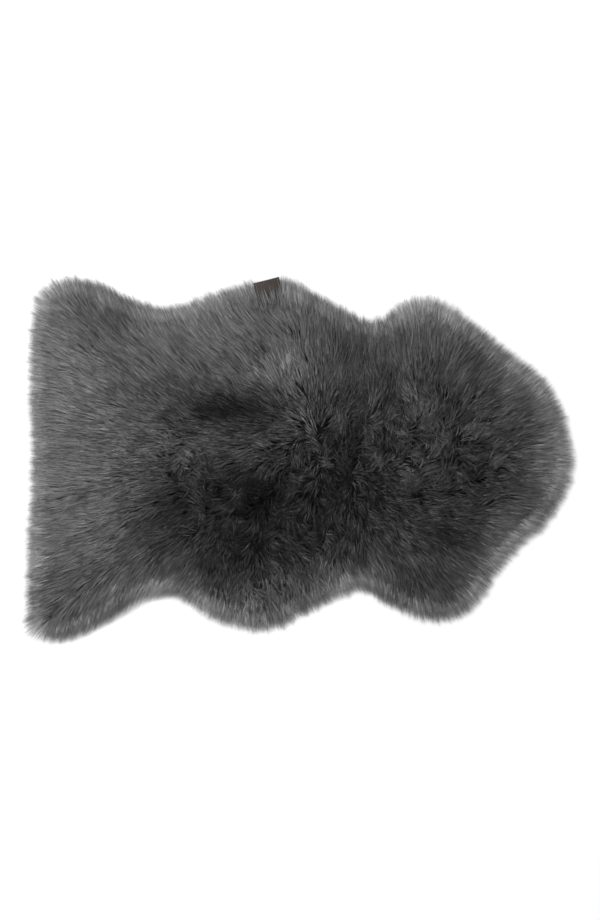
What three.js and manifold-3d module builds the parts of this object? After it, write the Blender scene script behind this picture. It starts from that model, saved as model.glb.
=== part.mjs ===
// A sheepskin rug: one tanned hide with its wool on, lying flat, and a leather tab sewn to its edge.
// Millimetres, +Z up. The neck end points along +X, and the origin is on the floor under the middle.
import * as THREE from "three";
import { mergeVertices } from "three/addons/utils/BufferGeometryUtils.js";
import Module from "manifold-3d";

const wasm = await Module();
wasm.setup();

// Driving dimensions.
const HIDE_THICKNESS = 2; // tanned skin
const CLEARANCE = 0.3; // between pieces that touch
const HIDE_INSET = 38; // from the wool's edge in to the skin's edge
const FRINGE = 26; // how far the rim locks reach past the slab of wool
const CROWN_HEIGHT = 45; // wool in the middle of the back
const RIM_HEIGHT = 21; // wool where the rim locks start
const SHOULDER = 55; // how soon the wool gains its height, going in from the rim

// Where the wool's edge runs, from the left foreleg round by the tail and back, seen from above.
// lean is how far the locks there are combed round from pointing straight out, in degrees.
const EDGE = [
  { at: "left foreleg, outer", x: 258, y: 265, lean: 34 },
  { at: "left foreleg", x: 222, y: 280, lean: 12 },
  { at: "left foreleg, inner", x: 180, y: 271, lean: -10 },
  { at: "left girth", x: 127, y: 239, lean: 12 },
  { at: "left ribs", x: 50, y: 275, lean: 38 },
  { at: "left belly", x: -31, y: 314, lean: 24 },
  { at: "left flank, fore", x: -124, y: 296, lean: 14 },
  { at: "left flank", x: -232, y: 263, lean: 36 },
  { at: "left thigh", x: -300, y: 283, lean: 66 },
  { at: "left hind leg", x: -372, y: 310, lean: 40 },
  { at: "left rump corner", x: -440, y: 292, lean: 10 },
  { at: "left rump", x: -463, y: 225, lean: -8 },
  { at: "tail", x: -463, y: 0, lean: 0 },
  { at: "right rump", x: -470, y: -200, lean: 14 },
  { at: "right rump corner", x: -460, y: -297, lean: 0 },
  { at: "right hind leg", x: -412, y: -311, lean: -30 },
  { at: "right thigh", x: -335, y: -283, lean: -50 },
  { at: "right flank", x: -232, y: -234, lean: -34 },
  { at: "right flank, fore", x: -155, y: -267, lean: 0 },
  { at: "right belly", x: -72, y: -294, lean: 18 },
  { at: "right ribs", x: 21, y: -260, lean: -6 },
  { at: "right girth", x: 107, y: -225, lean: 18 },
  { at: "right foreleg, inner", x: 160, y: -253, lean: 40 },
  { at: "right foreleg", x: 240, y: -278, lean: 26 },
  { at: "right foreleg, outer", x: 299, y: -253, lean: -10 },
  { at: "right shoulder", x: 337, y: -198, lean: -26 },
  { at: "right neck", x: 385, y: -143, lean: -10 },
  { at: "right of the neck's end", x: 445, y: -80, lean: 0 },
  { at: "neck's end", x: 470, y: 0, lean: 8 },
  { at: "left of the neck's end", x: 439, y: 115, lean: 12 },
  { at: "left neck", x: 351, y: 194, lean: 30 },
];

// The edge is walked in even steps, one rim lock to a step. The four sides carry the wool's grid.
const FLANK_STEPS = 60;
const END_STEPS = 52;
const STEPS = 2 * (FLANK_STEPS + END_STEPS);
const STRETCH = 4; // steps to each side over which the edge's direction is taken
const EVENING_ROUNDS = 90; // of making the grid even

// Tufts on the wool's top, livelier over the back than over the combed rump.
const TUFT_COUNT = 400;
const TUFT_PITCH = 50; // from one to the next, across
const TUFT_STRAY = 20; // how far a tuft may stand from its even place
const TUFT_LENGTHENING = 1.6; // how much longer than wide a tuft is, along the way it is combed
const TUFT_HEIGHT = 14;
const COMBED_TUFT_HEIGHT = 7;
const TOUSLED = { x: 60, y: -15, reachX: 300, reachY: 190, core: 0.4 };

// A rim lock: a four-sided horn, still stout at its waist and drawn in to a tip on the floor.
const LOCK = {
  waist: 0.48, // where the waist is, as a share of the lock's length
  waistWidth: 0.78, // against its root
  waistHeight: 0.7,
  shortest: 0.84, // against the fringe
  longest: 1.3,
  turn: 0.22, // how far neighbours differ in heading, in radians
  leastCosine: 0.75, // a lock that leans further gets no longer
};

// The leather tab: a strip that lies flat on the skin where it is sewn, climbs and lies over the rim.
const TAB = {
  x: -58.5, // the middle of its outer end
  y: 309.4,
  turn: THREE.MathUtils.degToRad(14.3), // its outer end's slant, seen from above
  width: 45,
  length: 52,
  thickness: 1.6,
  sewn: 13, // flat on the skin
  climb: 14, // the run over which it climbs through the wool
  rise: 8.5,
  droop: 3.5, // how far its outer end comes down again
  steps: 14, // along its length
  parting: 48, // how far the wool is pressed down to each side of its middle
};

// ---------------------------------------------------------------- helpers

// A number from 0 to 1 that looks random and is the same each time.
function scatter(seed) {
  const wave = Math.sin(seed * 12.9898 + 4.1) * 43758.5453;
  return wave - Math.floor(wave);
}

function smooth(t) {
  const s = THREE.MathUtils.clamp(t, 0, 1);
  return s * s * (3 - 2 * s);
}

// ---------------------------------------------------------------- the edge

// The lean rides along as the curve's third coordinate, in radians, too small to change its length.
const edgeCurve = new THREE.CatmullRomCurve3(
  EDGE.map(({ x, y, lean }) => new THREE.Vector3(x, y, THREE.MathUtils.degToRad(lean))),
  true,
  "centripetal",
);
edgeCurve.arcLengthDivisions = 8 * STEPS;

const edge = edgeCurve
  .getSpacedPoints(STEPS)
  .slice(0, STEPS)
  .map((p) => ({ place: new THREE.Vector2(p.x, p.y), lean: p.z }));

// The way out at each step, taken over a stretch of the edge so that an inset edge stays round.
const outward = edge.map((_, i) => {
  const before = edge[(i + STEPS - STRETCH) % STEPS].place;
  const after = edge[(i + STRETCH) % STEPS].place;
  const along = after.clone().sub(before).normalize();
  return new THREE.Vector2(along.y, -along.x);
});

// The edge moved in by a distance, still one point to a step.
function insetEdge(distance) {
  return edge.map(({ place }, i) => place.clone().addScaledVector(outward[i], -distance));
}

// ---------------------------------------------------------------- the hide

function hideGeometry() {
  const shape = new THREE.Shape(insetEdge(HIDE_INSET));
  return new THREE.ExtrudeGeometry(shape, { depth: HIDE_THICKNESS, bevelEnabled: false });
}

// ---------------------------------------------------------------- the tab

// How high the tab's underside is, at a distance from its sewn end.
function tabUnderside(s) {
  const past = Math.max(0, s - TAB.sewn - TAB.climb) / (TAB.length - TAB.sewn - TAB.climb);
  const climbed = TAB.rise * smooth((s - TAB.sewn) / TAB.climb);
  return HIDE_THICKNESS + CLEARANCE + climbed - TAB.droop * past * past;
}

// The strip's side view, drawn from its sewn end out, and pushed out to its width.
// grow makes it larger all round, for the slot that it lies in.
function tabGeometry(grow = 0) {
  const under = [];
  const over = [];
  for (let i = 0; i <= TAB.steps; i++) {
    const share = i / TAB.steps;
    const s = TAB.length * share;
    const reach = s - grow + 2 * grow * share;
    under.push(new THREE.Vector2(reach, tabUnderside(s) - grow));
    over.unshift(new THREE.Vector2(reach, tabUnderside(s) + TAB.thickness + grow));
  }
  const width = TAB.width + 2 * grow;
  const strip = new THREE.ExtrudeGeometry(new THREE.Shape([...under, ...over]), {
    depth: width,
    bevelEnabled: false,
  });
  // Side view's x becomes the way out, its y becomes up, and its depth becomes the strip's width.
  const across = new THREE.Vector3(Math.cos(TAB.turn), Math.sin(TAB.turn), 0);
  const out = new THREE.Vector3(-Math.sin(TAB.turn), Math.cos(TAB.turn), 0);
  const up = new THREE.Vector3(0, 0, 1);
  const sewnEnd = new THREE.Vector3(TAB.x, TAB.y, 0)
    .addScaledVector(out, -TAB.length)
    .addScaledVector(across, -width / 2);
  return strip.applyMatrix4(new THREE.Matrix4().makeBasis(out, up, across).setPosition(sewnEnd));
}

// ---------------------------------------------------------------- the wool

// The tufts stand like the seeds of a sunflower, which makes no rows, each a little astray.
const tufts = Array.from({ length: TUFT_COUNT }, (_, k) => {
  const goldenAngle = Math.PI * (3 - Math.sqrt(5));
  const out = new THREE.Vector2(1, 0).rotateAround(new THREE.Vector2(), k * goldenAngle);
  const reach = TUFT_PITCH * Math.sqrt(((k + 0.5) * Math.sqrt(3)) / (2 * Math.PI));
  const stray = new THREE.Vector2(scatter(k) - 0.5, scatter(k + 0.5) - 0.5);
  return { place: out.clone().multiplyScalar(reach).addScaledVector(stray, TUFT_STRAY), out };
});

// The tufts' own relief: 1 on top of a tuft, falling away to the valleys between them.
function tuft(x, y) {
  const nearest = tufts.map(({ place, out }) => {
    const away = new THREE.Vector2(x, y).sub(place);
    return Math.hypot(away.dot(out) / TUFT_LENGTHENING, away.cross(out));
  });
  return 1 - 2 * (Math.min(...nearest) / TUFT_PITCH) ** 2;
}

// How much the wool at a place is pressed down by the tab, from 0 to 1.
function pressed(x, y) {
  const outX = -Math.sin(TAB.turn);
  const outY = Math.cos(TAB.turn);
  const across = (x - TAB.x) * outY - (y - TAB.y) * outX;
  const inward = (TAB.x - x) * outX + (TAB.y - y) * outY;
  const beside = 1 - smooth((Math.abs(across) - TAB.width / 2) / (TAB.parting - TAB.width / 2));
  return beside * (1 - smooth((inward - FRINGE) / TAB.parting));
}

function woolHeight(x, y, fromRim) {
  const full = RIM_HEIGHT + (CROWN_HEIGHT - RIM_HEIGHT) * (1 - Math.exp(-fromRim / SHOULDER));
  const away = Math.hypot((x - TOUSLED.x) / TOUSLED.reachX, (y - TOUSLED.y) / TOUSLED.reachY);
  const lively = 1 - smooth(away - TOUSLED.core);
  const tufts = tuft(x, y) * THREE.MathUtils.lerp(COMBED_TUFT_HEIGHT, TUFT_HEIGHT, lively);
  const seat = HIDE_THICKNESS + TAB.rise - CLEARANCE;
  return THREE.MathUtils.lerp(full + tufts, seat, pressed(x, y));
}

// The places of the wool's grid. Its four sides are the slab's edge, and rounds of moving each
// inner place to the middle of its neighbours make it even.
function gridPlaces(sides) {
  const grid = [];
  for (let i = 0; i <= FLANK_STEPS; i++) {
    const left = sides[i];
    const right = sides[2 * FLANK_STEPS + END_STEPS - i];
    grid.push([]);
    for (let j = 0; j <= END_STEPS; j++) {
      if (i === 0) grid[i].push(sides[(STEPS - j) % STEPS].clone());
      else if (i === FLANK_STEPS) grid[i].push(sides[FLANK_STEPS + j].clone());
      else grid[i].push(left.clone().lerp(right, j / END_STEPS));
    }
  }
  for (let round = 0; round < EVENING_ROUNDS; round++) {
    for (let i = 1; i < FLANK_STEPS; i++) {
      for (let j = 1; j < END_STEPS; j++) {
        grid[i][j]
          .addVectors(grid[i - 1][j], grid[i + 1][j])
          .add(grid[i][j - 1])
          .add(grid[i][j + 1])
          .divideScalar(4);
      }
    }
  }
  return grid;
}

// The slab of wool: a lumpy top, a rim of tapered locks that rest on the floor, and an underside
// with a shallow pocket that the hide lies in.
function woolGeometry() {
  const positions = [];
  const faces = [];
  const addPoint = (x, y, z) => positions.push(x, y, z) / 3 - 1;
  const addLoop = (places, z) => places.map((p) => addPoint(p.x, p.y, z));
  const addQuad = (a, b, c, d) => faces.push(a, b, c, a, c, d);

  // The top.
  const root = insetEdge(FRINGE);
  const grid = gridPlaces(root);
  const top = grid.map((row) =>
    row.map((place) => {
      const fromRim = Math.min(...root.map((p) => p.distanceTo(place)));
      return addPoint(place.x, place.y, woolHeight(place.x, place.y, fromRim));
    }),
  );
  for (let i = 0; i < FLANK_STEPS; i++) {
    for (let j = 0; j < END_STEPS; j++) {
      const [a, b, c, d] = [top[i][j], top[i + 1][j], top[i + 1][j + 1], top[i][j + 1]];
      const shorter = grid[i][j].distanceTo(grid[i + 1][j + 1]) <
        grid[i + 1][j].distanceTo(grid[i][j + 1]);
      if (shorter) addQuad(a, b, c, d);
      else addQuad(b, c, d, a);
    }
  }
  const rimTop = root.map((_, step) => {
    if (step <= FLANK_STEPS) return top[step][0];
    if (step <= FLANK_STEPS + END_STEPS) return top[FLANK_STEPS][step - FLANK_STEPS];
    if (step <= 2 * FLANK_STEPS + END_STEPS) {
      return top[2 * FLANK_STEPS + END_STEPS - step][END_STEPS];
    }
    return top[0][STEPS - step];
  });

  // The rim locks: four-sided horns, flat under, each from its own step of the slab's side.
  const rimFoot = addLoop(root, 0);
  for (let step = 0; step < STEPS; step++) {
    const next = (step + 1) % STEPS;
    const section = [rimTop[step], rimFoot[step], rimFoot[next], rimTop[next]];
    const lean = edge[step].lean + LOCK.turn * (scatter(step) - 0.5);
    const way = outward[step].clone().add(outward[next]).rotateAround(new THREE.Vector2(), lean);
    const reach = THREE.MathUtils.lerp(LOCK.shortest, LOCK.longest, scatter(step * 3 + 1));
    way.setLength((FRINGE * reach) / Math.max(LOCK.leastCosine, Math.cos(lean)));
    const middle = root[step].clone().add(root[next]).multiplyScalar(0.5);
    const waist = section.map((corner) => {
      const [x, y, z] = positions.slice(3 * corner, 3 * corner + 3);
      return addPoint(
        THREE.MathUtils.lerp(middle.x, x, LOCK.waistWidth) + LOCK.waist * way.x,
        THREE.MathUtils.lerp(middle.y, y, LOCK.waistWidth) + LOCK.waist * way.y,
        LOCK.waistHeight * z,
      );
    });
    const tip = addPoint(middle.x + way.x, middle.y + way.y, 0);
    for (let side = 0; side < 4; side++) {
      const other = (side + 1) % 4;
      addQuad(section[other], waist[other], waist[side], section[side]);
      faces.push(waist[side], waist[other], tip);
    }
  }

  // The underside: floor level outside the hide, and over it inside.
  const pocketPlaces = insetEdge(HIDE_INSET - CLEARANCE);
  const pocketFoot = addLoop(pocketPlaces, 0);
  const pocketRoof = addLoop(pocketPlaces, HIDE_THICKNESS + CLEARANCE);
  for (let step = 0; step < STEPS; step++) {
    const next = (step + 1) % STEPS;
    addQuad(rimFoot[next], rimFoot[step], pocketFoot[step], pocketFoot[next]);
    addQuad(pocketFoot[next], pocketFoot[step], pocketRoof[step], pocketRoof[next]);
  }
  THREE.ShapeUtils.triangulateShape(pocketPlaces, []).forEach(([a, b, c]) => {
    faces.push(pocketRoof[c], pocketRoof[b], pocketRoof[a]);
  });

  const wool = new THREE.BufferGeometry();
  wool.setAttribute("position", new THREE.Float32BufferAttribute(positions, 3));
  wool.setIndex(faces);
  return wool;
}

// ---------------------------------------------------------------- cutting

function toSolid(geometry) {
  const bare = geometry.clone();
  bare.deleteAttribute("normal");
  bare.deleteAttribute("uv");
  const merged = mergeVertices(bare, 1e-4);
  return new wasm.Manifold(
    new wasm.Mesh({
      numProp: 3,
      vertProperties: new Float32Array(merged.attributes.position.array),
      triVerts: new Uint32Array(merged.index.array),
    }),
  );
}

function toGeometry(solid) {
  const { vertProperties, triVerts } = solid.getMesh();
  const geometry = new THREE.BufferGeometry();
  geometry.setAttribute("position", new THREE.BufferAttribute(vertProperties, 3));
  geometry.setIndex(new THREE.BufferAttribute(triVerts, 1));
  geometry.computeVertexNormals();
  return geometry;
}

// ---------------------------------------------------------------- the rug

function piece(name, geometry, color, roughness) {
  const material = new THREE.MeshStandardMaterial({ color, roughness, metalness: 0 });
  const mesh = new THREE.Mesh(geometry, material);
  mesh.name = name;
  return mesh;
}

const slotted = toSolid(woolGeometry()).subtract(toSolid(tabGeometry(CLEARANCE)));

const rug = new THREE.Group();
rug.add(piece("wool", toGeometry(slotted), 0x4a4a4a, 1));
rug.add(piece("hide", hideGeometry(), 0x8d8377, 0.9));
rug.add(piece("tab", tabGeometry(), 0x453c38, 0.6));

// The origin goes under the middle of the rug's own box.
const centre = new THREE.Box3().setFromObject(rug).getCenter(new THREE.Vector3());
rug.position.set(-centre.x, -centre.y, 0);

export default rug;
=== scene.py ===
"""A dark grey sheepskin rug: long wool on a tanned hide, with a small leather tab sewn to one flank.

Metres, +Z up. The neck end points along +X, and the hide lies on the floor under the wool.
"""

import bmesh
import bpy
import numpy as np
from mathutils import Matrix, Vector
from mathutils.bvhtree import BVHTree
from mathutils.kdtree import KDTree


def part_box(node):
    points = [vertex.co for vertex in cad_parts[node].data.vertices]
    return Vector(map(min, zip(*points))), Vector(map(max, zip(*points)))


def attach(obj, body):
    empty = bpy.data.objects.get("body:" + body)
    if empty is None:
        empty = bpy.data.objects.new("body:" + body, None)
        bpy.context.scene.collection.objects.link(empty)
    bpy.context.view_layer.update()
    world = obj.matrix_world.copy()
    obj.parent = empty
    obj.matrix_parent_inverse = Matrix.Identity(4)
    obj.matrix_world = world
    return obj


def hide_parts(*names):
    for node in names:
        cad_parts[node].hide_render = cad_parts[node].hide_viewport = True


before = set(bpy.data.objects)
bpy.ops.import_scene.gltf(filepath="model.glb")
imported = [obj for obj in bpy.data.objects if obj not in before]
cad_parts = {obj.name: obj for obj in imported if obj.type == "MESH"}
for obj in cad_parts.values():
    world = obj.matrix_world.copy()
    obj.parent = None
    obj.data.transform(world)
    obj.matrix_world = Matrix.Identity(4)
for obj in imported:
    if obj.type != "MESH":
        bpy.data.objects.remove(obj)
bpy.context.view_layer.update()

# ---------------------------------------------------------------- the studio
# A white floor under a white sky, with one large soft lamp high over the rump to model the wool.
# The camera hangs straight over the rug, on a long lens.

MM = 0.001


def make_object(name, data):
    made = bpy.data.objects.new(name, data)
    bpy.context.scene.collection.objects.link(made)
    return made


def make_mesh(name, shape):
    """The finished bmesh as a new object, standing at the origin."""
    mesh = bpy.data.meshes.new(name)
    shape.to_mesh(mesh)
    shape.free()
    return make_object(name, mesh)


class Value:
    """A shader socket that takes part in sums, and the one way that nodes are added."""

    def __init__(self, tree, socket=None):
        self.tree = tree
        self.socket = socket

    def node(self, kind, settings=None, output=0, **inputs):
        """Adds a node: its settings, which output to use, then inputs by name, or as i0, i1."""
        made = self.tree.nodes.new(kind)
        for name, value in (settings or {}).items():
            setattr(made, name, value)
        for name, value in inputs.items():
            numbered = name[0] == "i" and name[1:].isdigit()
            socket = made.inputs[int(name[1:]) if numbered else name.replace("_", " ")]
            if isinstance(value, Value):
                self.tree.links.new(value.socket, socket)
            else:
                socket.default_value = value
        return Value(self.tree, made.outputs[output])

    def sum(self, operation, first, second):
        return self.node("ShaderNodeMath", {"operation": operation}, i0=first, i1=second)

    def __add__(self, other):
        return self.sum("ADD", self, other)

    def __radd__(self, other):
        return self.sum("ADD", other, self)

    def __sub__(self, other):
        return self.sum("SUBTRACT", self, other)

    def __rsub__(self, other):
        return self.sum("SUBTRACT", other, self)

    def __mul__(self, other):
        return self.sum("MULTIPLY", self, other)

    def __rmul__(self, other):
        return self.sum("MULTIPLY", other, self)

    def feed(self, shader, name):
        self.tree.links.new(self.socket, shader.inputs[name])


def finish(name, roughness, gloss):
    """A new material, with its shader and a Value that adds nodes to it."""
    material = bpy.data.materials.new(name)
    material.use_nodes = True
    shader = material.node_tree.nodes["Principled BSDF"]
    shader.inputs["Roughness"].default_value = roughness
    shader.inputs["Specular IOR Level"].default_value = gloss
    return material, shader, Value(material.node_tree)


FLOOR_REACH = 6.0
FLOOR_DROP = 0.4 * MM  # so that it never lies in the plane of the hide's underside
floor_shape = bmesh.new()
bmesh.ops.create_grid(floor_shape, x_segments=1, y_segments=1, size=FLOOR_REACH)
bmesh.ops.translate(floor_shape, vec=(0, 0, -FLOOR_DROP), verts=floor_shape.verts)
floor = make_mesh("floor", floor_shape)
floor_paint, floor_shader, _ = finish("floor_paint", roughness=0.9, gloss=0.1)
floor_shader.inputs["Base Color"].default_value = (0.96, 0.96, 0.96, 1.0)
floor.data.materials.append(floor_paint)

scene = bpy.context.scene
scene.view_settings.view_transform = "Standard"
scene.world = bpy.data.worlds.new("sky")
scene.world.use_nodes = True
sky = scene.world.node_tree.nodes["Background"]
sky.inputs["Color"].default_value = (1.0, 1.0, 1.0, 1.0)
sky.inputs["Strength"].default_value = 0.75

lamp = bpy.data.lights.new("lamp_over_rump", "AREA")
lamp.size = 1.2
lamp.energy = 70
lamp_holder = make_object("lamp_over_rump", lamp)
lamp_holder.location = (-1.6, 1.3, 2.6)
lamp_holder.rotation_euler = (-lamp_holder.location).to_track_quat("-Z", "Y").to_euler()

CAMERA_HEIGHT = 4.6
SEEN_LENGTH = 1582.4 * MM  # what the long side of the view takes in, at the rim's level
SEEN_LEVEL = 8 * MM
SEEN_MIDDLE = (1.5 * MM, -1.3 * MM)
camera_data = bpy.data.cameras.new("camera")
camera_data.sensor_width = 36.0
camera_data.lens = camera_data.sensor_width * (CAMERA_HEIGHT - SEEN_LEVEL) / SEEN_LENGTH
camera = make_object("camera", camera_data)
camera.location = (*SEEN_MIDDLE, CAMERA_HEIGHT)
scene.camera = camera

# ---------------------------------------------------------------- the hide
# One tanned skin, suede on its flesh side, cut round to the animal's shape and left with a raw
# edge. It lies flat on the floor and carries all the wool.

SUEDE_DARK = (0.17, 0.145, 0.12, 1.0)
SUEDE_PALE = (0.31, 0.275, 0.235, 1.0)


def merged_copy(node):
    """A bmesh of a solid from the frame, with its loose triangles joined."""
    shape = bmesh.new()
    shape.from_mesh(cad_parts[node].data)
    bmesh.ops.remove_doubles(shape, verts=shape.verts, dist=0.01 * MM)
    shape.normal_update()
    return shape


def edge_loop(shape):
    """The corners round a flat top, anticlockwise from the one furthest along X, in millimetres."""
    top = {face for face in shape.faces if face.normal.z > 0.9}
    follows = {}
    for face in top:
        corners = list(face.verts)
        for here, there in zip(corners, corners[1:] + corners[:1]):
            edge = shape.edges.get((here, there))
            if not all(other in top for other in edge.link_faces):
                follows[here] = there
    loop = [max(follows, key=lambda corner: corner.co.x)]
    while follows[loop[-1]] is not loop[0]:
        loop.append(follows[loop[-1]])
    return np.array([[corner.co.x, corner.co.y] for corner in loop]) / MM


hide_shape = merged_copy("hide")
skin_edge = edge_loop(hide_shape)
hide_area = sum(face.calc_area() for face in hide_shape.faces if face.normal.z > 0.9)
hide_skin = make_mesh("hide_skin", hide_shape)

suede, suede_shader, base = finish("suede", roughness=0.92, gloss=0.15)
suede_shader.inputs["Sheen Weight"].default_value = 0.2
place = base.node("ShaderNodeTexCoord", output=3)
blotches = base.node("ShaderNodeTexNoise", Vector=place, Scale=9.0, Detail=6.0, Roughness=0.6)
nap = base.node("ShaderNodeTexNoise", Vector=place, Scale=420.0, Detail=4.0, Roughness=0.7)
skin_tone = base.node(
    "ShaderNodeMix", {"data_type": "RGBA"}, output=2, i0=blotches * 0.6 + nap * 0.4,
    i6=SUEDE_DARK, i7=SUEDE_PALE,
)
skin_tone.feed(suede_shader, "Base Color")
suede_relief = base.node("ShaderNodeBump", Height=nap, Strength=0.35, Distance=0.6 * MM)
suede_relief.feed(suede_shader, "Normal")
hide_skin.data.materials.append(suede)

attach(hide_skin, "root")
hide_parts("hide")
low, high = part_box("hide")

# ---------------------------------------------------------------- the tab
# A strip of dark brown leather sewn flat to the hide at the left flank. It climbs through the wool
# and lies over the rim, with a row of stitches along each side.

TAB_ROUNDING = 0.45 * MM
STITCH_INSET = 3.4  # how far in from each side, in millimetres
STITCH_LENGTH = 2.9 * MM
STITCH_PITCH = 3.7 * MM
STITCH_WIDTH = 0.9 * MM
STITCH_HEIGHT = 0.6 * MM
SEAM_START = 2.4 * MM  # in from the tab's outer end
SEAM_STOP = 2 * MM  # short of its inner end
LEATHER_DARK = (0.020, 0.014, 0.012, 1.0)
LEATHER_PALE = (0.052, 0.041, 0.036, 1.0)
THREAD_DARK = (0.15, 0.13, 0.11, 1.0)
THREAD_PALE = (0.30, 0.27, 0.24, 1.0)

tab_shape = merged_copy("tab")
sharp = [edge for edge in tab_shape.edges if edge.calc_face_angle(0.0) > 1.0]
end_edge = max(sharp, key=lambda edge: edge.calc_length())
tab_across = (end_edge.verts[1].co - end_edge.verts[0].co).normalized()
if tab_across.x < 0:
    tab_across.negate()
tab_out = Vector((-tab_across.y, tab_across.x, 0))
tab_width = end_edge.calc_length()
tab_middle = (end_edge.verts[0].co + end_edge.verts[1].co).dot(tab_across) / 2
tab_end = max(corner.co.dot(tab_out) for corner in tab_shape.verts)
tab_start = min(corner.co.dot(tab_out) for corner in tab_shape.verts)
tab_tree = BVHTree.FromBMesh(tab_shape)


def on_tab(across, out):
    """The point on the tab's face this far across from its middle and in from its outer end."""
    flat = tab_across * (tab_middle + across) + tab_out * (tab_end - out)
    return tab_tree.ray_cast(Vector((flat.x, flat.y, 1.0)), Vector((0, 0, -1)))[0]


bmesh.ops.bevel(
    tab_shape, geom=sharp, offset=TAB_ROUNDING, segments=3, profile=0.5, affect="EDGES", material=-1
)
tab_leather = make_mesh("tab_leather", tab_shape)
for face in tab_leather.data.polygons:
    face.use_smooth = True

tab_map = tab_leather.data.uv_layers.new(name="tab_map")
for loop in tab_leather.data.loops:
    corner = tab_leather.data.vertices[loop.vertex_index].co
    across, out = corner.dot(tab_across) - tab_middle, tab_end - corner.dot(tab_out)
    tab_map.uv[loop.index].vector = (across / MM, out / MM)

leather, leather_shader, base = finish("tab_leather", roughness=0.6, gloss=0.25)
place = base.node("ShaderNodeTexCoord", output=3)
uv = base.node("ShaderNodeUVMap", {"uv_map": "tab_map"})
across = base.node("ShaderNodeSeparateXYZ", Vector=uv)
from_end = base.node("ShaderNodeSeparateXYZ", output=1, Vector=uv)
from_side = tab_width / 2 / MM - base.node("ShaderNodeMath", {"operation": "ABSOLUTE"}, i0=across)
off_seam = base.node("ShaderNodeMath", {"operation": "ABSOLUTE"}, i0=from_side - STITCH_INSET)
groove = base.node("ShaderNodeMapRange", Value=off_seam, From_Min=0.5, From_Max=1.6)
near_edge = from_side.sum("MINIMUM", from_side, from_end)
edge = base.node("ShaderNodeMapRange", Value=near_edge, From_Min=0.2, From_Max=1.5)
# painted shade: the leather is painted darker in the stitch grooves and along the tab's edges
painted_groove_and_edge_shade = (0.45 + 0.55 * groove) * (0.5 + 0.5 * edge)
grain = base.node("ShaderNodeTexVoronoi", {"feature": "SMOOTH_F1"}, Vector=place, Scale=900.0)
mottle = base.node("ShaderNodeTexNoise", Vector=place, Scale=160.0, Detail=5.0, Roughness=0.65)
plain_tone = base.node(
    "ShaderNodeMix", {"data_type": "RGBA"}, output=2, i0=mottle,
    i6=LEATHER_DARK, i7=LEATHER_PALE,
)
tab_tone = base.node("ShaderNodeVectorMath", {"operation": "SCALE"}, i0=plain_tone, Scale=painted_groove_and_edge_shade)
tab_tone.feed(leather_shader, "Base Color")
(0.5 + 0.25 * mottle).feed(leather_shader, "Roughness")
leather_relief = base.node(
    "ShaderNodeBump", Height=grain * 0.5 + mottle * 0.3 + groove, Strength=0.5, Distance=0.35 * MM
)
leather_relief.feed(leather_shader, "Normal")
tab_leather.data.materials.append(leather)
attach(tab_leather, "root")
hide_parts("tab")

thread_shape = bmesh.new()
for side in (-1, 1):
    across = side * (tab_width / 2 - STITCH_INSET * MM)
    out = SEAM_START
    while out + STITCH_LENGTH < tab_end - tab_start - SEAM_STOP:
        near, far = on_tab(across, out), on_tab(across, out + STITCH_LENGTH)
        made = bmesh.ops.create_uvsphere(thread_shape, u_segments=8, v_segments=6, radius=1.0)
        for corner in made["verts"]:
            along, wide, high = corner.co
            spot = (near + far) / 2 + (far - near) * (along * 0.52)
            corner.co = spot + tab_across * (wide * STITCH_WIDTH / 2)
            corner.co.z += high * STITCH_HEIGHT / 2
        out += STITCH_PITCH
tab_stitches = make_mesh("tab_stitches", thread_shape)
for face in tab_stitches.data.polygons:
    face.use_smooth = True
thread, thread_shader, base = finish("tab_thread", roughness=0.7, gloss=0.3)
place = base.node("ShaderNodeTexCoord", output=3)
ply = base.node("ShaderNodeTexNoise", Vector=place, Scale=1500.0, Detail=2.0)
thread_tone = base.node(
    "ShaderNodeMix", {"data_type": "RGBA"}, output=2, i0=ply,
    i6=THREAD_DARK, i7=THREAD_PALE,
)
thread_tone.feed(thread_shader, "Base Color")
tab_stitches.data.materials.append(thread)
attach(tab_stitches, "root")

# ---------------------------------------------------------------- how the wool lies
# The fleece is combed flat and outwards over the rump and the sides, and left tousled and open
# over the back. It is darkest there, partly its own tone and partly painted shade in the open wool,
# and palest where it thins at the rim, which is painted light. All in millimetres.

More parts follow.
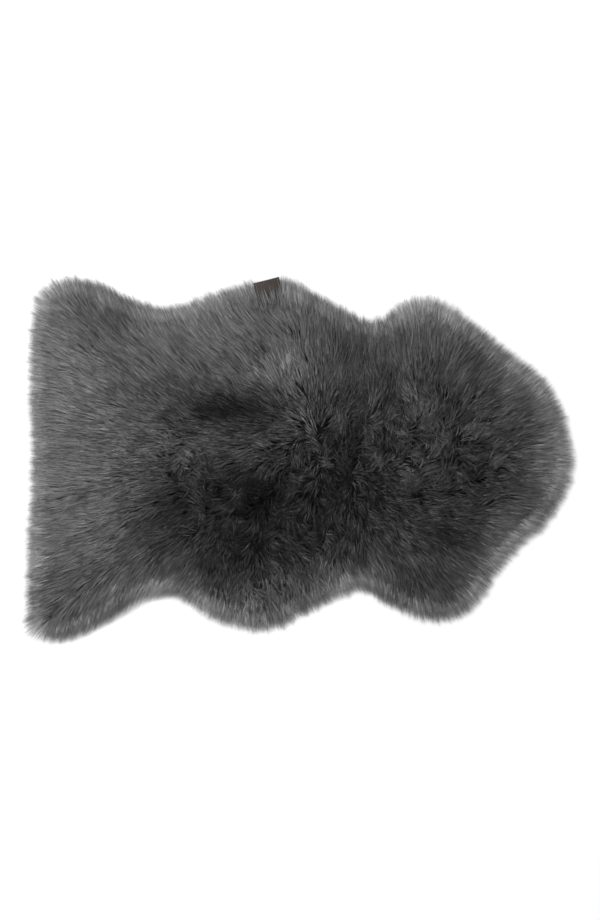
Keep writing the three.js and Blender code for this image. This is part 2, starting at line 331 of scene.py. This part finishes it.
COMB = (
    # x, y, heading in degrees from +X
    (-450, 250, 155), (-390, 290, 130), (-330, 270, 128), (-440, 190, 165), (-380, 200, 150),
    (-300, 200, 136), (-230, 230, 126), (-150, 260, 125), (-90, 290, 112), (-30, 300, 96),
    (-440, 110, 175), (-350, 120, 158), (-260, 140, 142), (-170, 150, 133), (-90, 170, 142),
    (-40, 210, 128), (30, 260, 112), (-20, 140, 118), (30, 160, 92), (90, 150, 78),
    (110, 220, 100), (170, 220, 104), (180, 260, 112), (230, 260, 88), (270, 240, 60),
    (150, 130, 98), (210, 140, 92), (260, 150, 74), (300, 150, 40), (350, 170, 52),
    (290, 100, 34), (350, 110, 28), (400, 130, 42), (340, 60, 24), (440, 70, 30),
    (-450, 0, 180), (-350, 0, 179), (-240, 40, 166), (-155, 75, 150), (-85, 105, 138),
    (-150, 20, 172), (-105, 28, 181), (-60, 5, 184), (-60, 60, 160), (-8, 55, 170),
    (330, 10, 6), (440, 10, 8), (380, -50, -4), (450, -60, -6), (300, -60, 6),
    (-240, -30, 178), (-155, -30, 186), (-40, -10, 215), (-5, 0, 245), (-90, -60, 205),
    (-440, -110, 192), (-340, -100, 192), (-240, -90, 203), (-160, -100, 214), (-330, -160, 198),
    (-260, -170, 224), (-170, -180, 222), (-440, -210, 201), (-380, -220, 214), (-330, -230, 236),
    (-280, -210, 235), (-430, -290, 236), (-380, -300, 248), (-220, -210, 224), (-130, -180, 260),
    (-140, -250, 282), (-70, -270, 280), (-20, -210, 288), (40, -200, 282), (100, -190, 290),
    (0, -130, 315), (60, -120, 280), (130, -110, 294), (180, -100, 332), (250, -110, 344),
    (360, -120, 350), (160, -230, 268), (210, -180, 302), (270, -170, 320), (330, -180, 328),
    (220, -270, 315), (280, -250, 298), (120, 60, 64), (75, 60, 60), (32, 65, 66), (60, 10, 70),
    (120, 5, 86), (150, 12, 36), (200, -25, 28), (185, 85, 112), (225, 45, 110), (260, 60, 46),
    (-20, -65, 240), (25, -55, 290), (60, -75, 266), (100, -75, 284), (128, -60, 318),
    (165, -72, 4), (152, -35, 312),
)
COMB_REACH = 30.0  # how far a row of the comb pulls the wool its way

TOUSLED = (
    # x, y, reach along, reach across, turn in degrees, and how much
    (90, -15, 220, 75, 0, 1.0), (-60, -110, 140, 70, -15, 0.8), (-185, 20, 60, 60, 0, 0.4),
    (230, 40, 90, 55, 0, 0.8), (-95, 25, 50, 40, 0, -0.8), (0, 55, 30, 22, 0, -0.6),
    (-100, -225, 125, 45, 0, 0.8), (-20, 150, 60, 40, 0, 0.15),
)

TONE_AND_SHADE_PATCHES = (
    # x, y, reach along, reach across, turn in degrees, change: soft patches of the wool's own
    # tone, mixed with painted shade where it stands open and painted light on lumps lit from above
    (-420, 0, 110, 500, 0, 0.22), (-60, -80, 265, 105, 0, -0.46), (250, -20, 130, 120, 0, -0.22),
    (-115, 84, 95, 36, 0, -0.4), (150, 130, 190, 75, 0, -0.26), (80, 0, 180, 60, 0, -0.05),
    (-330, 240, 75, 45, 15, -0.3), (-30, 165, 50, 36, 0, 0.4), (205, -5, 70, 36, 0, 0.18),
    (440, 5, 38, 70, 0, 0.75), (268, -140, 55, 36, 0, -0.26), (-120, -190, 60, 45, 0, -0.26),
    (-450, -250, 40, 50, 0, -0.3), (70, -205, 45, 35, 0, 0.42), (366, -162, 46, 55, 0, 0.92),
    (-340, -85, 60, 80, 0, 0.25), (-160, 240, 100, 30, 0, 0.1), (205, 250, 80, 30, 0, 0.25),
    (100, 205, 60, 30, 0, -0.2), (212, 80, 38, 34, 0, 0.33), (210, -215, 60, 32, 0, -0.27),
    (-245, -222, 50, 25, 0, 0.78), (-8, 288, 28, 22, 0, 0.42), (-250, -130, 50, 60, 0, -0.14),
    (85, 30, 40, 65, 0, -0.16), (200, -35, 40, 30, 0, 0.15), (-30, -8, 28, 25, 0, 0.12),
    (315, -35, 50, 50, 0, -0.17), (262, 246, 30, 24, 0, 0.65), (392, 150, 45, 50, 0, 0.6),
    (-20, -165, 85, 32, 0, -0.13), (90, -140, 90, 30, 0, -0.09), (-205, 125, 95, 60, 0, -0.12),
    (-385, 285, 60, 25, 0, -0.2), (-270, 12, 50, 35, 0, 0.14), (-55, -245, 60, 30, 0, 0.16),
    (18, 100, 20, 60, 0, 0.12), (-75, 195, 28, 40, 0, -0.13), (298, -225, 25, 20, 0, 0.2),
)
HIDE_INSET = 38.0  # how far the hide's edge lies in from the fleece's outline
BASE_SHADE = 0.55
DARKEST = 0.045
RIM_PAINTED_LIGHT = 0.85  # how much lighter the wool is at its outline, painted light for its thin fringe
RIM_FADE = 22.0  # the distance over which that fades
ROOT_SCATTER = 0.42  # how far a root stands off an even grid, as a share of its pitch

rng = np.random.default_rng(11)


def towards(degrees):
    """The flat unit vectors that point at these angles from +X."""
    angle = np.radians(degrees)
    return np.stack([np.cos(angle), np.sin(angle)], axis=-1)


def combed(places):
    """The way the wool is combed at each place, and how far the comb's rows agree there."""
    comb = np.array(COMB, float)
    away = np.linalg.norm(places[:, None] - comb[None, :, :2], axis=2)
    pull = np.exp(-((away / COMB_REACH) ** 2) / 2) + 1e-9
    way = pull @ towards(comb[:, 2]) / pull.sum(1, keepdims=True)
    agree = np.linalg.norm(way, axis=1)
    return way / agree[:, None], agree


def waves(places, length, seed, count=7):
    """A soft uneven field, about -1 to 1, with waves of about this length."""
    chance = np.random.default_rng(seed)
    ways = 2 * np.pi * towards(chance.uniform(0, 360, count))
    lengths = length * chance.uniform(0.7, 1.5, count)
    starts = chance.uniform(0, 2 * np.pi, count)
    return np.sin(places @ (ways / lengths[:, None]).T + starts).sum(1) / np.sqrt(count)


def patch(places, x, y, along, across, turn):
    """1 at the middle of a soft oval patch, falling away past its reach."""
    ahead = towards(turn)
    offset = places - (x, y)
    u = offset @ ahead / along
    v = offset @ np.array([-ahead[1], ahead[0]]) / across
    return np.exp(-(u**2 + v**2))


def tousle(places):
    """How tousled the wool is at each place, from 0 to 1."""
    return sum(much * patch(places, *where) for *where, much in TOUSLED).clip(0, 1)


def shade(places, depth):
    """How light the wool is, its tone with painted shade and light: by place, and by how far each
    lies in from the hide's edge.
    """
    body = BASE_SHADE + sum(change * patch(places, *where) for *where, change in TONE_AND_SHADE_PATCHES)
    # painted light: the wool is painted lighter towards its outline, where the fringe thins
    rim = RIM_PAINTED_LIGHT * np.exp(-((depth + HIDE_INSET).clip(0) / RIM_FADE))
    return body.clip(DARKEST, None) + rim


edge_next = np.roll(skin_edge, -1, axis=0)
edge_span = edge_next - skin_edge
edge_run = np.roll(skin_edge, -4, axis=0) - np.roll(skin_edge, 4, axis=0)
edge_out = np.stack([edge_run[:, 1], -edge_run[:, 0]], axis=1)
edge_out /= np.linalg.norm(edge_out, axis=1, keepdims=True)


def from_edge(places):
    """How far each place lies in from the hide's edge, negative outside, and the way out there."""
    offset = places[:, None] - skin_edge[None]
    share = ((offset * edge_span).sum(2) / (edge_span**2).sum(1)).clip(0, 1)
    gap = np.linalg.norm(offset - share[..., None] * edge_span, axis=2)
    x, y = places[:, :1], places[:, 1:]
    crosses = (skin_edge[:, 1] > y) != (edge_next[:, 1] > y)
    rise = np.where(edge_span[:, 1] == 0, 1, edge_span[:, 1])
    meets = skin_edge[:, 0] + (y - skin_edge[:, 1]) * edge_span[:, 0] / rise
    inside = (crosses & (x < meets)).sum(1) % 2 == 1
    return np.where(inside, 1, -1) * gap.min(1), edge_out[gap.argmin(1)]


fleece_tree = BVHTree.FromPolygons(
    [corner.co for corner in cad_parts["wool"].data.vertices],
    [face.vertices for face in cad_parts["wool"].data.polygons],
)


def fleece_top(places):
    """How high the fleece stands over each place, and 0 outside it."""
    heights = []
    for x, y in places * MM:
        hit = fleece_tree.ray_cast(Vector((x, y, 1.0)), Vector((0, 0, -1)))[0]
        heights.append(hit.z / MM if hit else 0.0)
    return np.array(heights)


def room_ahead(places, ways):
    """How far the fleece's outline lies from each place, along the way the wool points."""
    room = np.zeros(len(places))
    for _ in range(5):
        depth, _ = from_edge(places + room[:, None] * ways)
        room += 0.9 * (depth + HIDE_INSET)
    return room


def sow(pitch):
    """Places all over the hide, on a jittered grid of triangles."""
    reach = np.abs(skin_edge).max(0) + pitch
    rows = np.arange(-reach[1], reach[1], pitch * np.sqrt(0.75))
    columns = np.arange(-reach[0], reach[0], pitch)
    grid = [(x + pitch / 2 * (row % 2), y) for row, y in enumerate(rows) for x in columns]
    places = np.array(grid)
    places += rng.uniform(-ROOT_SCATTER, ROOT_SCATTER, places.shape) * pitch
    depth, _ = from_edge(places)
    return places[depth > 0], depth[depth > 0]


# ---------------------------------------------------------------- the underwool
# The dense short wool at the roots, a lumpy cushion that fills the fleece from inside, so that
# the hide never shows between the long fibres. Its near-black colour is painted shade, for the deep
# gaps between the locks.

UNDERWOOL_PITCH = 12.0
UNDERWOOL_SHARE = 0.46  # of the fleece's height
UNDERWOOL_SLOPE = 30.0  # how far in from the hide's edge it comes to that
UNDERWOOL_LEAST = 3.0  # the least height of its top
UNDERWOOL_FOOT = 2.3  # the level of its underside, just over the hide
TAB_SPACE = 70.0  # how far round the tab's outer end it is left out
TAB_SPACE_DEPTH = 60.0  # and how far in from the hide's edge
# near-black painted shade for the deep gaps down between the locks
UNDERWOOL_PAINTED_SHADE_DARK = (0.004, 0.004, 0.004, 1.0)
UNDERWOOL_PAINTED_SHADE_PALE = (0.02, 0.02, 0.02, 1.0)

underwool_shape = bmesh.new()
half = np.abs(skin_edge).max(0) + UNDERWOOL_PITCH
steps = np.ceil(2 * half / UNDERWOOL_PITCH).astype(int)
bmesh.ops.create_grid(underwool_shape, x_segments=int(steps[0]), y_segments=int(steps[1]), size=1.0)
bmesh.ops.scale(underwool_shape, vec=(*(half * MM), 1.0), verts=underwool_shape.verts)
corners = list(underwool_shape.verts)
places = np.array([corner.co.xy for corner in corners]) / MM
depth, _ = from_edge(places)
level = fleece_top(places) * UNDERWOOL_SHARE * np.clip((depth + 4) / UNDERWOOL_SLOPE, 0.25, 1)
for corner, height in zip(corners, level.clip(UNDERWOOL_LEAST, None)):
    corner.co.z = height * MM
tab_spot = (tab_across * tab_middle + tab_out * tab_end) / MM
near_tab = np.linalg.norm(places - np.array(tab_spot.xy), axis=1) < TAB_SPACE
spare = (depth < 1) | (near_tab & (depth < TAB_SPACE_DEPTH))
spare_corners = [corner for corner, off in zip(corners, spare) if off]
bmesh.ops.delete(underwool_shape, geom=spare_corners, context="VERTS")
loose_corners = [corner for corner in underwool_shape.verts if not corner.link_faces]
bmesh.ops.delete(underwool_shape, geom=loose_corners, context="VERTS")
raised = bmesh.ops.extrude_face_region(underwool_shape, geom=list(underwool_shape.faces))
top_corners = [part for part in raised["geom"] if isinstance(part, bmesh.types.BMVert)]
for corner in set(underwool_shape.verts) - set(top_corners):
    corner.co.z = UNDERWOOL_FOOT * MM
bmesh.ops.recalc_face_normals(underwool_shape, faces=underwool_shape.faces)
underwool = make_mesh("underwool", underwool_shape)
for face in underwool.data.polygons:
    face.use_smooth = True
short_wool, short_wool_shader, base = finish("underwool", roughness=0.95, gloss=0.02)
place = base.node("ShaderNodeTexCoord", output=3)
crimp = base.node("ShaderNodeTexNoise", Vector=place, Scale=260.0, Detail=5.0, Roughness=0.7)
# painted shade: the underwool is coloured near-black, so the gaps down to it read as deep shadow
underwool_shade_tone = base.node(
    "ShaderNodeMix", {"data_type": "RGBA"}, output=2, i0=crimp,
    i6=UNDERWOOL_PAINTED_SHADE_DARK, i7=UNDERWOOL_PAINTED_SHADE_PALE,
)
underwool_shade_tone.feed(short_wool_shader, "Base Color")
crimp_relief = base.node("ShaderNodeBump", Height=crimp, Strength=0.8, Distance=2 * MM)
crimp_relief.feed(short_wool_shader, "Normal")
underwool.data.materials.append(short_wool)
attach(underwool, "root")
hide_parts("wool")

# ---------------------------------------------------------------- the long wool
# Fine fibres in thin strands, and the strands in locks. Each fibre stands in the hide, rises
# through the fleece and lies over on its neighbours. It is three-sided, with a point at each end.

RIM_BAND = 16.0  # how far in from the hide's edge the rim's wool is rooted
FREE_DEPTH = 45.0  # how far in the wool has to stand to turn and curl freely
EDGEWARD = 0.45  # how far the comb gives way to straight outwards at the hide's edge
LOCK_PITCH = 18.0
LOCK_BLUR = 2.5  # how far a strand may stand outside its own lock
RIM_REACH = (30, 84)  # the least and most reach of the rim's strands
RIM_TUFTS = 1.9  # how far the rim's small tufts stand out, or stay back
RIM_TUFT_LENGTH = 15.0  # from one tuft to the next
TIPS_AT_RIM = 5.0  # how high the fibres' tips lie at the outline,
TIPS_RISE = 27.0  # how much higher they lie well inside it,
TIPS_SLOPE = 17.0  # and the distance over which they rise
RIM_CREST = 32.0  # how high the rim's fibres arch
JOINING_CREST = 40.0  # how high the body's fibres arch where they meet the rim's
TAB_SHOWN = 12.0  # how much of the tab the wool leaves uncovered,
STRAYS_OVER = 0.5  # apart from this share of the strands
STRAYS_FROM = 8.0  # within this distance of its rumpward side
SHORTEST = 15.0  # a strand that has to be cut shorter than this for the tab is left out
TAB_OVERHANG = 3.0  # how far the strands that the tab lies on stay back from its outer end
TAB_AHEAD = 20.0  # how far past its outer end such a strand may still be rooted
TAB_GAP = 0.8  # between the tab's faces and a fibre's middle
WOOL_GREY = (0.3, 0.3, 0.302)
LIGHTEST = 2.5  # the shade at the right side of the fibres' map

# How each kind of wool grows: the pitch of its strands, the fibres in each, the least and most
# reach of a strand, or past the outline at the rim, then of its fibres as a share of that, their
# thickness, how far a strand gathers to its tip, and how far its fibres stray.
HABITS = {
    "combed": dict(
        pitch=3.35, fibres=3, reach=(38, 56), share=(0.72, 1.08), thick=(0.62, 1.0),
        gather=0.8, stray=0.55,
    ),
    "tousled": dict(
        pitch=3.6, fibres=4, reach=(24, 40), share=(0.72, 1.08), thick=(0.55, 0.9),
        gather=0.85, stray=0.6,
    ),
    "rim": dict(
        pitch=3.6, fibres=3, reach=(-4, 10), share=(0.88, 1.04), thick=(0.55, 0.9),
        gather=0.75, stray=0.8,
    ),
    "rim_down": dict(
        pitch=2.8, fibres=3, reach=(-2, 9), share=(0.88, 1.04), thick=(0.4, 0.65),
        gather=0.4, stray=1.5,
    ),
    "loose": dict(
        pitch=4.6, fibres=1, reach=(34, 52), share=(0.72, 1.08), thick=(0.5, 0.85),
        gather=0.0, stray=2.0,
    ),
}

# Where the rim's locks stand out further than the rest, or less far.
SWELLS = (
    # x, y, reach, how much further
    (-411, 308, 26, 7), (-447, 292, 24, 8), (-464, 262, 22, 5), (-335, 300, 22, 5),
    (225, 277, 40, 3), (413, -133, 14, 11), (-464, -300, 20, 14), (-140, -280, 28, 6),
    (-25, -288, 15, 6), (200, -273, 14, 4), (277, -269, 16, 4), (-286, -255, 26, -6),
    (45, -251, 22, -5), (-318, -274, 18, -4), (466, 42, 22, -5), (446, 102, 18, -5),
)

locks, _ = sow(LOCK_PITCH)
lock_stir = np.maximum(tousle(locks), 1 - combed(locks)[1])
lock_turn = np.radians(3 + 40 * lock_stir) * rng.normal(size=len(locks))
lock_curl = (1.0 + 11 * lock_stir) * rng.normal(size=len(locks))
lock_light = np.exp((0.08 + 0.34 * lock_stir) * rng.normal(size=len(locks)))
lock_lift = 1 + (0.02 + 0.12 * lock_stir) * rng.normal(size=len(locks))
lock_tree = KDTree(len(locks))
for number, (x, y) in enumerate(locks):
    lock_tree.insert((x, y, 0), number)
lock_tree.balance()


TAB_HALF = tab_width / 2 / MM
TAB_RUN = (tab_end - tab_start) / MM


def tab_place(places):
    """How far each place lies beside the tab's middle line, and in from its outer end."""
    beside = places @ np.array(tab_across.xy) - tab_middle / MM
    return beside, tab_end / MM - places @ np.array(tab_out.xy)


def clear_tab(line, below):
    """Lifts the fibres that cross the tab over it, and presses those that it lies on under it."""
    beside, inward = tab_place(line[..., :2])
    near = (np.abs(beside) < TAB_HALF + 1) & (inward > 0) & (inward < TAB_RUN)
    for fibre, station in zip(*np.nonzero(near)):
        x, y = line[fibre, station, :2] * MM
        start, way = (-1.0, 1) if below[fibre] else (1.0, -1)
        hit = tab_tree.ray_cast(Vector((x, y, start)), Vector((0, 0, way)))[0]
        if hit and below[fibre]:
            line[fibre, station, 2] = min(line[fibre, station, 2], hit.z / MM - TAB_GAP)
        elif hit:
            line[fibre, station, 2] = max(line[fibre, station, 2], hit.z / MM + TAB_GAP)


class Strands:
    """All the strands of one kind of wool. Its arrays have a row for each strand."""

    def __init__(self, habit):
        self.habit = habit
        self.facts = HABITS[habit]
        self.at_rim = habit.startswith("rim")
        self.root = self.rooted()
        self.number = len(self.root)
        self.depth, self.out = from_edge(self.root)
        self.combed_way, self.agree = combed(self.root)
        self.stir = np.maximum(tousle(self.root), 1 - self.agree)
        asked = self.root + LOCK_BLUR * rng.normal(size=self.root.shape)
        self.lock = np.array([lock_tree.find((x, y, 0))[1] for x, y in asked])
        self.free = (self.depth / FREE_DEPTH).clip(0.12, 1)
        self.way = self.heading()
        self.reach = self.length()
        self.under_tab, self.dropped = self.make_way_for_tab()
        self.tip = self.root + self.reach[:, None] * self.way
        self.tip_depth, _ = from_edge(self.tip)
        self.light = self.lightness()

    def rooted(self):
        """The places where this kind of wool stands."""
        places, depth = sow(self.facts["pitch"])
        stir = np.maximum(tousle(places), 1 - combed(places)[1])
        open_wool = stir > rng.uniform(0.15, 0.7, len(places))
        if self.at_rim:
            return places[depth <= RIM_BAND]
        if self.habit == "combed":
            return places[(depth > RIM_BAND) & ~open_wool]
        if self.habit == "tousled":
            return places[(depth > RIM_BAND) & open_wool]
        return places[depth > RIM_BAND]

    def heading(self):
        """The way each strand points: with the comb, outwards near the edge, and a little astray."""
        edgeward = EDGEWARD * np.clip(1 - self.depth / FREE_DEPTH, 0, 1)[:, None]
        mean = self.combed_way * (1 - edgeward) + self.out * edgeward
        angle = np.arctan2(mean[:, 1], mean[:, 0]) + self.free * lock_turn[self.lock]
        angle += np.radians(6 + 20 * self.stir) * self.free * waves(self.root, 60, 1)
        angle += np.radians(4 + 14 * self.stir) * rng.normal(size=self.number)
        return towards(np.degrees(angle))

    def length(self):
        """How far each strand reaches, seen from above."""
        room = room_ahead(self.root, self.way)
        reach = rng.uniform(*self.facts["reach"], self.number)
        if self.at_rim:
            outline = self.root + room[:, None] * self.way
            swell = sum(more * patch(outline, x, y, size, size, 0) for x, y, size, more in SWELLS)
            tufts = RIM_TUFTS * waves(outline, RIM_TUFT_LENGTH, 6)
            return (reach + room + swell + tufts).clip(*RIM_REACH)
        inside = room - rng.uniform(-3, 12, self.number)
        return np.minimum(reach * (0.55 + 0.45 * self.agree), inside)

    def make_way_for_tab(self):
        """Shortens what would hide the tab. Tells which strands it lies on, and which go."""
        beside, inward = tab_place(self.root)
        under_tab = (np.abs(beside) < TAB_HALF + 1) & (inward > -TAB_AHEAD) & (inward < TAB_RUN)
        beside, inward = tab_place(self.root + self.reach[:, None] * self.way)
        stop = np.where(under_tab, TAB_OVERHANG, TAB_SHOWN) + 1.2 * rng.normal(size=self.number)
        past = stop - inward
        strays_over = rng.uniform(size=self.number) < STRAYS_OVER * (beside < STRAYS_FROM - TAB_HALF)
        covers = (np.abs(beside) < TAB_HALF - 1) & (past > 0) & ~strays_over
        self.reach = np.where(covers, self.reach - past, self.reach)
        dropped = (covers & (self.reach < SHORTEST)) | (under_tab & (self.depth > RIM_BAND))
        return under_tab, dropped

    def lightness(self):
        """How light each strand is, from its place with painted shade and light, its lock and
        chance.
        """
        body = shade((self.tip + self.root) / 2, 0.7 * self.tip_depth + 0.3 * self.depth)
        mottle = 0.1 * waves(self.root, 45, 4) + 0.14 * waves(self.root, 17, 5)
        varied = (0.5 + 0.22 * self.stir) * (0.5 + 0.5 * self.free)
        darker = 0.7 - np.abs(rng.normal(size=self.number))
        return body * lock_light[self.lock] * np.exp(mottle + varied * darker)

    def grow(self):
        """The fibres' roots, middles and tips, and how thick, light and tousled each fibre is."""
        sunk = rng.uniform(0, 1, self.number) ** 1.5
        of = np.repeat(np.arange(self.number)[~self.dropped], self.facts["fibres"])
        count = len(of)
        ahead = self.way[of]
        aside = np.stack([-ahead[:, 1], ahead[:, 0]], axis=1)
        start = towards(rng.uniform(0, 360, count)) * self.facts["pitch"] * 0.62
        start *= np.sqrt(rng.uniform(0, 1, count))[:, None]
        stray = rng.normal(size=(count, 2)) * self.facts["stray"]
        length = rng.uniform(*self.facts["share"], count)
        crest, end = self.rise(of, sunk)
        curl = (self.free * lock_curl[self.lock])[of]
        curl += (0.5 + 1.5 * self.stir[of]) * rng.normal(size=count)
        drawn = (locks[self.lock] - self.root)[of] * (0.06 + 0.26 * self.stir[of])[:, None]
        # A fibre arches up from its root, then comes down to its tip, and swings aside as it curls.
        stations = []
        for share in (0.0, 0.5, 1.0):
            run = (share * length)[:, None]
            flat = self.root[of] + ahead * self.reach[of][:, None] * (0.6 * run * (1 - run) + run**2)
            flat = flat + aside * curl[:, None] * (run**2 - 0.4 * run) * 1.6 + drawn * run**1.5
            flat = flat + start * (1 - self.facts["gather"] * run) + stray * run
            up = 2.2 * (1 - run) ** 2 + 2 * crest[:, None] * run * (1 - run) + end[:, None] * run**2
            stations.append(np.concatenate([flat, up.clip(0.6, None)], axis=1))
        line = np.stack(stations, axis=1)
        clear_tab(line, self.under_tab[of])
        thick = rng.uniform(*self.facts["thick"], count)
        spread = 0.17 + 0.1 / self.light[of].clip(0.15, None)
        light = self.light[of] * np.exp((spread * rng.normal(size=count)).clip(None, 0.9))
        return line, thick, light.clip(0.03, 2.4), self.stir[of]

    def rise(self, of, sunk):
        """How high each fibre arches, and how high its tip lies."""
        count = len(of)
        top = fleece_top(self.tip)[of]
        from_outline = (self.tip_depth[of] + HIDE_INSET).clip(-5, None)
        slope = TIPS_AT_RIM + TIPS_RISE * (1 - np.exp(-(from_outline + 1) / TIPS_SLOPE))
        end = np.where(top > 0, np.minimum(top, slope), slope) * (1 - 0.12 * sunk[of])
        end = (end - rng.uniform(0, 3, count)).clip(1.5, None)
        if self.at_rim:
            crest = RIM_CREST + 0.4 * self.depth[of] + 5 * rng.normal(size=count)
        else:
            near_rim = np.exp(-(self.depth[of] - RIM_BAND) / 20)
            crest = top.clip(18, None) * (1.2 - 0.25 * self.stir[of])
            crest -= (crest - JOINING_CREST) * near_rim
        lift = lock_lift[self.lock][of]
        return crest * lift, end * lift


def spin(line, thick):
    """The five corners of each fibre: a point at each end, and three round its middle."""
    root, middle, tip = line[:, 0], line[:, 1], line[:, 2]
    ahead = (tip - root) / np.linalg.norm(tip - root, axis=1, keepdims=True)
    aside = np.cross(ahead, (0.0, 0.0, 1.0))
    aside /= np.linalg.norm(aside, axis=1, keepdims=True) + 1e-9
    over = np.cross(aside, ahead)
    roll = rng.uniform(0, 2 * np.pi, len(line))
    corners = [root]
    for turn in (roll, roll + 2 * np.pi / 3, roll + 4 * np.pi / 3):
        offset = np.cos(turn)[:, None] * aside + np.sin(turn)[:, None] * over
        corners.append(middle + offset * thick[:, None] / 2)
    corners.append(tip)
    points = np.stack(corners, axis=1)
    points[:, :, 2] = points[:, :, 2].clip(0.2, None)
    return points


wool_fibre, fibre_shader, base = finish("wool_fibre", roughness=0.7, gloss=0.12)
uv = base.node("ShaderNodeUVMap", {"uv_map": "OFBake"})
across_map = base.node("ShaderNodeSeparateXYZ", Vector=uv)
along_fibre = base.node("ShaderNodeSeparateXYZ", output=1, Vector=uv)
# painted shade: each fibre is painted darker towards its root, down in the fleece
painted_root_shade = base.node(
    "ShaderNodeMapRange", Value=along_fibre, From_Min=0.15, From_Max=0.9, To_Min=0.22, To_Max=1.0
)
fibre_tone = base.node(
    "ShaderNodeVectorMath", {"operation": "SCALE"},
    i0=WOOL_GREY, Scale=across_map * LIGHTEST * painted_root_shade,
)
fibre_tone.feed(fibre_shader, "Base Color")

FIBRE_FACES = np.array([(0, 2, 1), (0, 3, 2), (0, 1, 3), (1, 2, 4), (2, 3, 4), (3, 1, 4)])

# On the fibres' map, a fibre's lightness runs across and its length runs up, root end first; the
# darkening towards the root is painted shade deep in the fleece. Combed fibres start part of the
# way up, as their roots don't show, so they get less of it.
ALONG = (0.02, 0.5, 0.5, 0.5, 0.98)
ACROSS = (0.0, -0.006, 0.0, 0.006, 0.0)
spun = []
for habit in HABITS:
    line, thick, light, stir = Strands(habit).grow()
    first = 0.35 * (1 - stir[:, None])
    along = first + (1 - first) * ALONG
    across = light[:, None] / LIGHTEST + ACROSS
    spun.append((spin(line, thick), np.stack([across.clip(0, 1), along], axis=2)))
points, fibre_map = map(np.concatenate, zip(*spun))

# The rug's five stretches from rump to neck hold as many fibres each.
sorted_fibres = np.argsort(points[:, 0, 0])
STRETCHES = ("wool_rump", "wool_loin", "wool_back", "wool_shoulder", "wool_neck")
for name, members in zip(STRETCHES, np.array_split(sorted_fibres, len(STRETCHES))):
    faces = (FIBRE_FACES[None] + 5 * np.arange(len(members))[:, None, None]).reshape(-1, 3)
    mesh = bpy.data.meshes.new(name)
    mesh.vertices.add(5 * len(members))
    mesh.vertices.foreach_set("co", (points[members] * MM).astype(np.float32).ravel())
    mesh.loops.add(faces.size)
    mesh.loops.foreach_set("vertex_index", faces.astype(np.int32).ravel())
    mesh.polygons.add(len(faces))
    mesh.polygons.foreach_set("loop_start", np.arange(0, faces.size, 3, dtype=np.int32))
    at_corners = fibre_map[members].reshape(-1, 2)[faces.ravel()]
    mesh.uv_layers.new(name="OFBake").uv.foreach_set("vector", at_corners.astype(np.float32).ravel())
    mesh.update(calc_edges=True)
    mesh.polygons.foreach_set("use_smooth", np.ones(len(faces), bool))
    mesh.materials.append(wool_fibre)
    stretch = make_object(name, mesh)
    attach(stretch, "root")
    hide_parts("wool")
